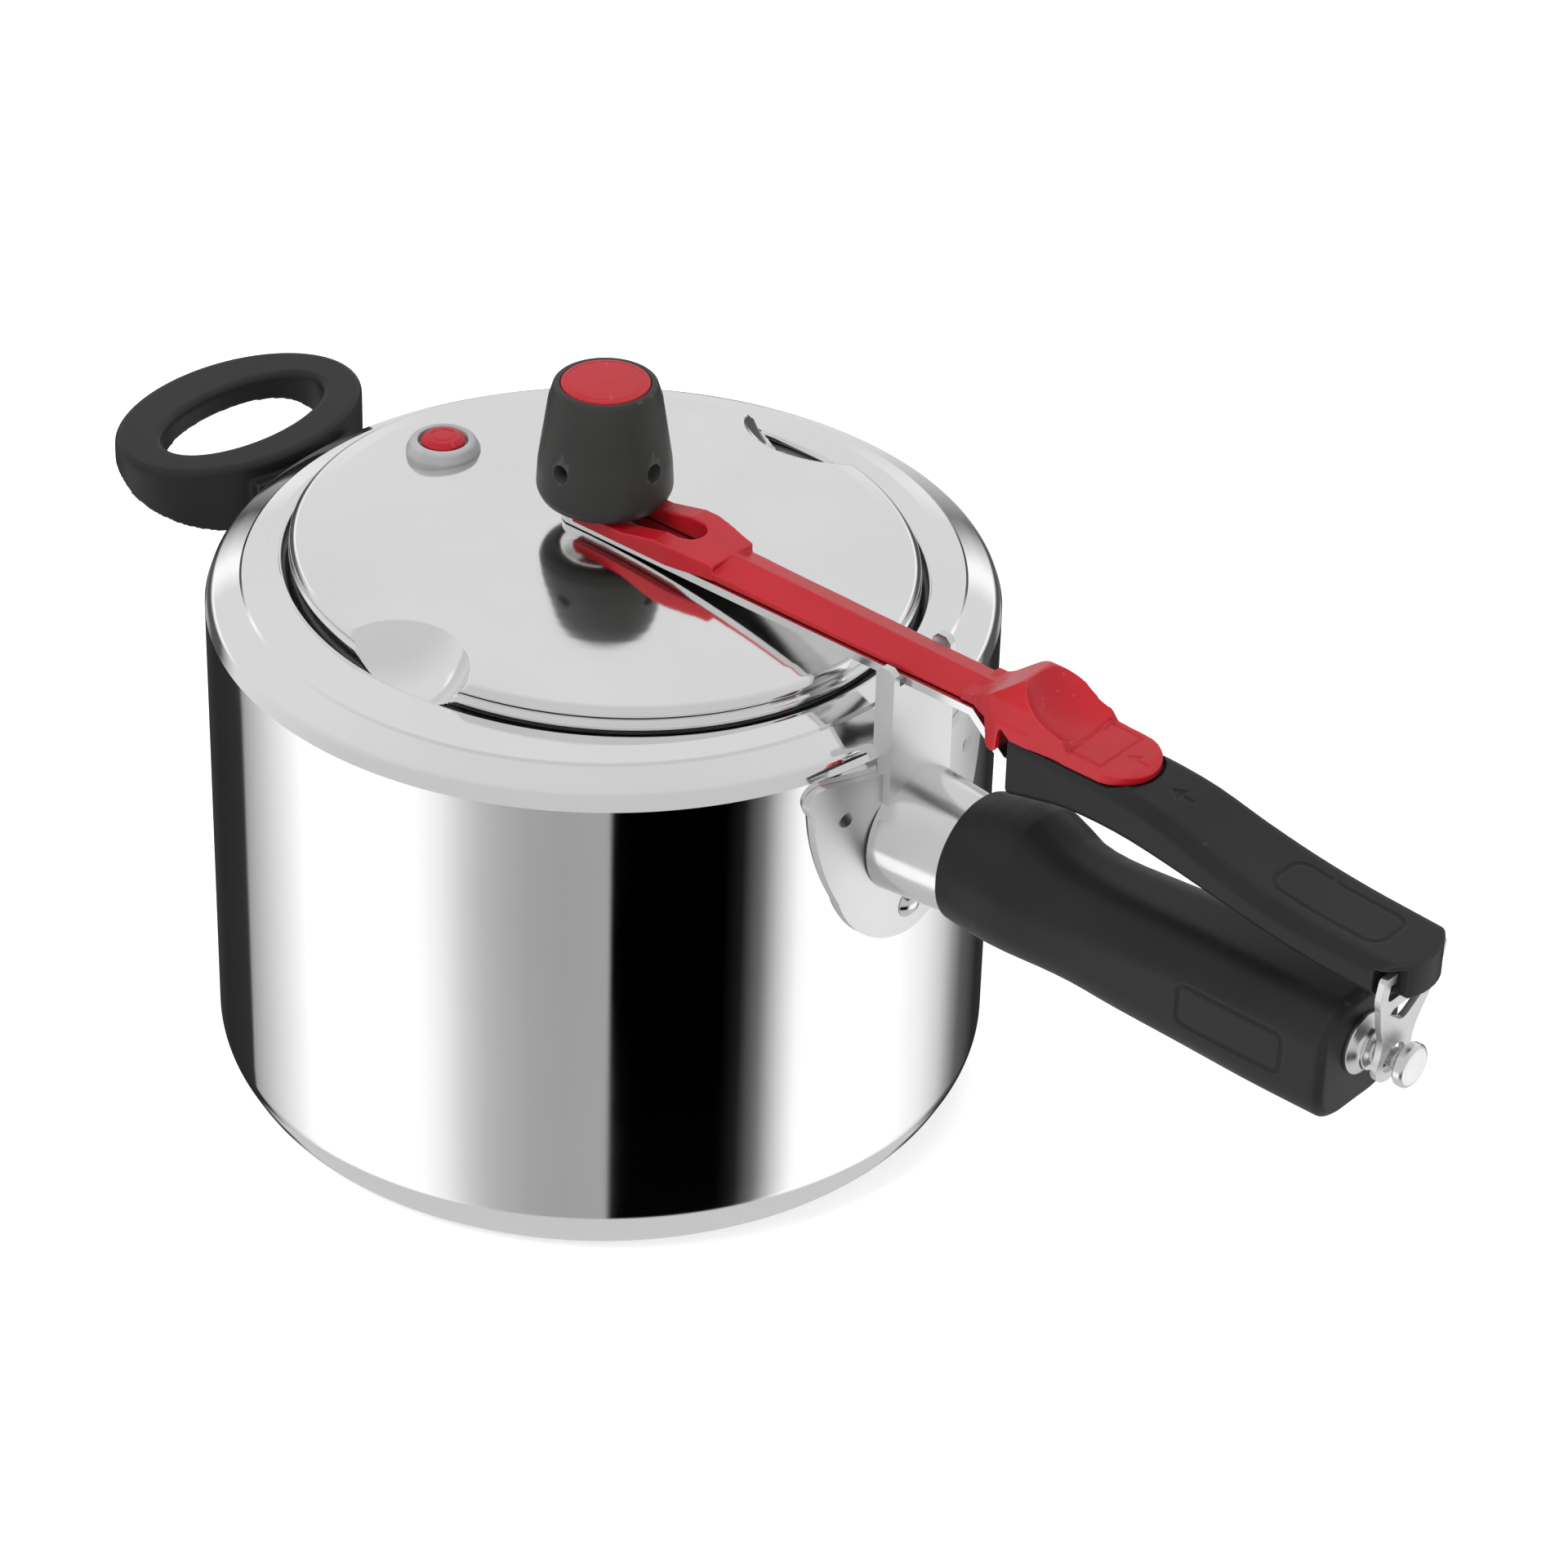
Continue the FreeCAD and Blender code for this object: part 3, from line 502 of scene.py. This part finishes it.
def build_weight():
    z0, z1 = WEIGHT_Z0, WEIGHT_Z1
    outline = [(13.4, z0, 1.0), (16.4, z0 + 0.7, 2.5), (17.8, z0 + 3.6, 4), (17.4, z0 + 11, 30),
               (14.7, z1 - 4.6, 6), (13.4, z1 - 0.3, 1.4), (11.7, z1 - 0.3, 0.3), (11.7, z1 - 1.4, 0.2),
               (9.5, z1 - 1.4, 0.2), (9.5, z1 - 3.4, 0.2), (12.4, z0 + 12, 1), (12.4, z0 + 0.4, 0.4)]
    path = densified(rounded(outline, True, 8), 2.5, True)
    shell = spun("Weight_shell", path, about_z(), 160, True, 30)
    vent_z = 182.6
    vent = [(0, 9), (2.45, 9), (2.45, 17.0), (2.9, 18.2), (0, 18.2)]
    for quarter in range(4):
        x, y = math.cos(quarter * math.pi / 2), math.sin(quarter * math.pi / 2)

        def outwards(r, h, t):
            return (x * h - y * r * math.cos(t), y * h + x * r * math.cos(t), vent_z + r * math.sin(t))
        cut(shell, spun("vent", vent, outwards, 40))
    shade(shell, 30)
    dress(shell, "charcoal", "weight", "charcoal_plastic", "weight_shell")
    disc = [(0, z1 - 1.3, 0), (11.55, z1 - 1.3, 0.2), (11.55, z1 - 0.1, 0.45), (10.4, z1 + 0.1, 0.3),
            (10.1, z1 - 0.05, 0.2), (9.7, z1 + 0.12, 0.4), (0, z1 + 0.3, 0)]
    cap = spun("Weight_cap_disc", densified(rounded(disc, steps=5), 2.5), about_z(), 128)
    dress(cap, "red", "weight", "red_plastic", "weight_cap")


def build_slug():
    slug = [(0, 185.4), (4.1, 185.4), (4.1, 170.4), (4.6, 170.0), (11.8, 170.0), (12.3, 170.5),
            (12.3, 178.3), (8.9, 180.0), (8.9, 199.3), (0, 199.3)]
    core = spun("Weight_core_slug", slug, about_z(), 96, False, 30)
    dress(core, "zinc", "weight", "zinc_steel", "weight_core")


def build_valve():
    collar = [(2.05, 150.5, 0.3), (6.6, 150.5, 0.6), (7.2, 153.0, 0.6), (7.2, 155.4, 0.3),
              (5.0, 155.8, 0.2), (5.0, 158.0, 0.1), (9.2, 158.0, 0.3), (9.9, 158.8, 0.5),
              (9.9, 160.6, 1.2), (8.6, 163.2, 1.6), (6.7, 163.4, 0.4), (6.6, 161.6, 0.3),
              (2.05, 161.5, 0.2)]
    path = densified(rounded(collar, True), 2.0, True)
    seal = spun("Valve_collar", path, about_z(VALVE_X), 96, True, 50)
    dress(seal, "silicone", "lid", "grey_silicone", "valve_seal")
    button = [(0, 143.8, 0), (1.3, 143.8, 0.4), (3.1, 145.0, 0.3), (3.1, 146.6, 0.3), (1.98, 147.0, 0.1),
              (1.98, 161.8, 0.1), (5.7, 161.8, 0.3), (6.0, 163.2, 0.7), (4.6, 164.3, 1.2),
              (3.4, 164.4, 0.2), (3.1, 164.2, 0.2), (2.7, 164.42, 0.3), (0, 164.5, 0)]
    pin = spun("Valve_button", densified(rounded(button), 1.5), about_z(VALVE_X), 96, False, 50)
    dress(pin, "red", "valve", "red_plastic", "valve_pin")


def build_stem():
    tube = [(0.9, 150.0, 0.2), (STEM_R, 150.0, 0.4), (STEM_R, 183.6, 0.3), (2.6, 185.0, 0.4),
            (0.9, 185.0, 0.2)]
    stem = spun("Vent_tube", densified(rounded(tube, True), 3.0, True), about_z(), 64, True, 40)
    dress(stem, "zinc", "lid", "zinc_steel", "vent_stem")


# ---------------------------------------------------------------- handle metal

def build_tube():
    path = [(13.6, 105.5), (17.5, 105.5), (15.7, 127.0), (15.7, 127.9), (14.2, 128.4), (14.2, 150.0),
            (12.2, 150.0), (12.2, 126.0), (13.6, 124.0)]
    tube = spun("Handle_ferrule", densified(path, 2.0, True), about_x(TUBE_Z), 160, True, 30)
    dress(tube, "steel", "pot", "bright_steel", "handle_tube")


def build_cup():
    cup = [(2.6, 245.0, 0.2), (8.2, 245.0, 0.3), (8.2, 246.2, 0.5), (5.8, 247.8, 2.0), (5.8, 249.2, 0.4),
           (3.4, 249.6, 0.2), (3.4, 250.2, 0.3), (2.6, 250.2, 0.2)]
    seat = spun("Latch_cup", densified(rounded(cup, True), 1.0, True), about_x(SCREW_Z), 96, True, 40)
    dress(seat, "zinc", "pot", "zinc_steel", "latch_seat")


# ---------------------------------------------------------------- everything else follows the CAD shape

# CAD node, piece, bevel width, material, body, slot
PRESSED = [
    ("handle_bracket", "Bracket_plate", 0.45, "satin", "pot", "bright_steel"),
    ("bracket_rivets", "Bracket_rivets", 0.25, "steel", "pot", "bright_steel"),
    ("tube_plug", "Tube_plug", 0.3, "zinc", "pot", "zinc_steel"),
    ("tie_screw", "Tie_screw", 0.3, "zinc", "pot", "zinc_steel"),
    ("latch_hook", "Latch_plate", 0.15, "satin", "latch", "zinc_steel"),
    ("helper_bracket", "Helper_strap", 0.4, "steel", "pot", "bright_steel"),
    ("helper_rivets", "Helper_rivets", 0.2, "steel", "pot", "bright_steel"),
    ("helper_screw", "Helper_screw", 0.2, "zinc", "pot", "zinc_steel"),
    ("lid_arm", "Lid_arm_strip", 0.5, "steel", "lid", "bright_steel"),
    ("stem_washer", "Stem_washer", 0.2, "zinc", "lid", "zinc_steel"),
    ("stem_nut", "Stem_nut", 0.4, "zinc", "lid", "zinc_steel"),
    ("handle_screws", "Handle_screws", 0.25, "zinc", "lid", "zinc_steel"),
]

# CAD node, piece, voxel size, rounds of smoothing, material, body, slot
MOULDED = [
    ("lower_grip", "Grip_lower", 0.42, 8, "phenolic", "pot", "black_phenolic"),
    ("upper_handle", "Grip_upper", 0.36, 8, "phenolic", "lid", "black_phenolic"),
    ("helper_handle", "Helper_ring", 0.5, 8, "phenolic", "pot", "black_phenolic"),
    ("release_lever", "Release_lever_bar", 0.27, 5, "red", "lever", "red_plastic"),
]

# Plain panel lines and arrows moulded into the plastic: axes drawn in, depth, shapes
SUNK = {
    "upper_handle": ((0, 1), 0.5, [outline_of((234.5, 0), (16.0, 6.6), 4.0, 0.9), arrow(184.6, 6.4, 2.4)]),
    "lower_grip": ((0, 2), 0.5, [outline_of((217.5, 116.2), (15.5, 5.6), 2.5, 0.9)]),
    "release_lever": ((0, 1), 0.35, [outline_of((163.9, 0), (5.0, 8.3), 0.6, 0.7), arrow(170.6, 6.2, 2.3)]),
}

build_pot()
build_lid()
build_gasket()
build_weight()
build_valve()
build_tube()
build_cup()
build_stem()
build_slug()
for node, name, width, material, body, slot in PRESSED:
    dress(pressed(node, name, width), material, body, slot, node)
for node, name, voxel, rounds, material, body, slot in MOULDED:
    piece = moulded(node, name, voxel, rounds)
    if node in SUNK:
        sunk(piece, *SUNK[node])
    dress(piece, material, body, slot, node)


# ---------------------------------------------------------------- floor, light and camera

AZIMUTH = math.radians(41.3525)
ELEVATION = math.radians(33.5477)
DISTANCE = 1.400
TARGET = Vector((22.7, 1.5, 89.4)) * MM
ROLL = math.radians(0.99)
LENS = 121.62
SHIFT = 0.0729

# Light and dark cards of the tent round the object, as (bearing from the camera in degrees, brightness)
CARDS = [(-180, 0.05), (-150, 0.02), (-128, 0.025), (-126.6, 0.30), (-121, 0.42), (-110.5, 0.63),
         (-101, 0.83), (-94, 1.0), (-58, 1.0), (-52, 0.90), (-46, 0.78), (-40, 0.58), (-34, 0.45),
         (-28, 0.385), (-20, 0.335), (-10, 0.315), (3.2, 0.33), (3.9, 0.0), (37, 0.0), (42.5, 0.01),
         (48.5, 0.14), (54.5, 0.55), (60.5, 0.90), (66, 1.0), (97, 1.0), (104, 0.90), (113, 0.79),
         (123, 0.55), (130, 0.28), (137, 0.10), (154, 0.02), (180, 0.03)]


def build_floor():
    mesh = bpy.data.meshes.new("Floor")
    half = 30.0
    corners = [(-half, -half, 0), (half, -half, 0), (half, half, 0), (-half, half, 0)]
    mesh.from_pydata(corners, [], [(0, 1, 2, 3)])
    floor = bpy.data.objects.new("Floor", mesh)
    bpy.context.collection.objects.link(floor)
    s = Shader("floor_white")
    white = s.blend(s.spread(s.noise(3, 3), 0, 1), (0.90, 0.90, 0.90, 1), (0.93, 0.93, 0.93, 1))
    mesh.materials.append(s.set(color=white, rough=0.9, spec=0.0, glow=(1, 1, 1, 1), glow_strength=0.35))
    floor.visible_glossy = False


def build_world():
    """White all round for the plain surfaces, and the cards and a grey roof for the metal to reflect."""
    world = bpy.data.worlds.new("Studio")
    bpy.context.scene.world = world
    world.use_nodes = True
    world.node_tree.nodes.clear()
    w = Nodes(world.node_tree)
    ray = w.node("ShaderNodeTexCoord", out="Generated")
    parts = w.tree.nodes.new("ShaderNodeSeparateXYZ")
    w.feed(parts.inputs[0], ray)
    x, y, z = parts.outputs
    towards = (math.sin(AZIMUTH), -math.cos(AZIMUTH))
    right = (math.cos(AZIMUTH), math.sin(AZIMUTH))
    ahead, aside = [w.math("ADD", w.math("MULTIPLY", x, u), w.math("MULTIPLY", y, v))
                    for u, v in (towards, right)]
    bearing = w.math("MULTIPLY_ADD", w.math("ARCTAN2", aside, ahead), 1 / (2 * math.pi), 0.5)
    ramp = w.tree.nodes.new("ShaderNodeValToRGB")
    w.feed(ramp.inputs[0], bearing)
    stops = ramp.color_ramp.elements
    while len(stops) < len(CARDS):
        stops.new(0.5)
    for stop, (degrees, level) in zip(stops, CARDS):
        stop.position = degrees / 360 + 0.5
        stop.color = (level, level, level, 1)

    roof = w.spread(ahead, 0.63, 0.52, -0.35, 0.35)
    above = w.spread(z, 0, 1, -0.44, -0.34)
    below = w.spread(z, 0, 1, -0.69, -0.74)
    flanks = w.math("MULTIPLY", w.spread(ahead, 0, 1, -0.45, -0.6),
                    w.spread(w.math("ABSOLUTE", aside), 0, 1, 0.12, 0.35))
    flanks = w.math("MULTIPLY", flanks, above)
    glow = w.math("MULTIPLY", flanks, w.spread(z, 0, 1, 0.33, 0.26))
    dusk = w.math("MULTIPLY", flanks, w.spread(z, 0, 1, 0.22, 0.04))
    mixed = w.blend(above, ramp.outputs[0], roof)
    for share, level in ((glow, 0.9), (dusk, 0.08), (below, 0.52)):
        mixed = w.blend(share, mixed, (level, level, level, 1))
    glossy = w.node("ShaderNodeBackground", {"Color": mixed, "Strength": 1.15})
    plain = w.node("ShaderNodeBackground", {"Color": (1, 1, 1, 1), "Strength": 0.75})
    is_glossy = w.node("ShaderNodeLightPath", out="Is Glossy Ray")
    shader = w.node("ShaderNodeMixShader", {0: is_glossy, 1: plain, 2: glossy})
    w.node("ShaderNodeOutputWorld", {"Surface": shader})


def add_lamp(name, place, aim, size, power):
    """A round soft lamp that the metal doesn't reflect."""
    light = bpy.data.lights.new(name, "AREA")
    light.shape = "DISK"
    light.size = size
    light.energy = power
    lamp = bpy.data.objects.new(name, light)
    lamp.location = place
    lamp.rotation_euler = (Vector(aim) - Vector(place)).to_track_quat("-Z", "Y").to_euler()
    lamp.visible_glossy = False
    bpy.context.collection.objects.link(lamp)


def build_camera():
    flat = math.cos(ELEVATION)
    back = Vector((math.sin(AZIMUTH) * flat, -math.cos(AZIMUTH) * flat, math.sin(ELEVATION)))
    right = Vector((math.cos(AZIMUTH), math.sin(AZIMUTH), 0))
    up = back.cross(right)
    turn = Matrix.Rotation(ROLL, 3, back)
    camera = bpy.data.objects.new("Camera", bpy.data.cameras.new("Camera"))
    camera.data.lens = LENS
    camera.data.sensor_width = 36
    camera.data.shift_x = SHIFT
    camera.data.clip_end = 100
    axes = Matrix((turn @ right, turn @ up, back)).transposed().to_4x4()
    camera.matrix_world = Matrix.Translation(TARGET + back * DISTANCE) @ axes
    bpy.context.collection.objects.link(camera)
    bpy.context.scene.camera = camera


build_floor()
build_world()
add_lamp("Key", (-0.35, -1.3, 1.7), (0.05, 0, 0.1), 1.1, 22)
add_lamp("Fill", (1.5, -0.5, 0.9), (0.05, 0, 0.1), 1.0, 7)
add_lamp("Back", (-0.6, 1.2, 1.4), (0, 0, 0.1), 1.2, 9)
build_camera()
bpy.context.scene.view_settings.view_transform = "Standard"
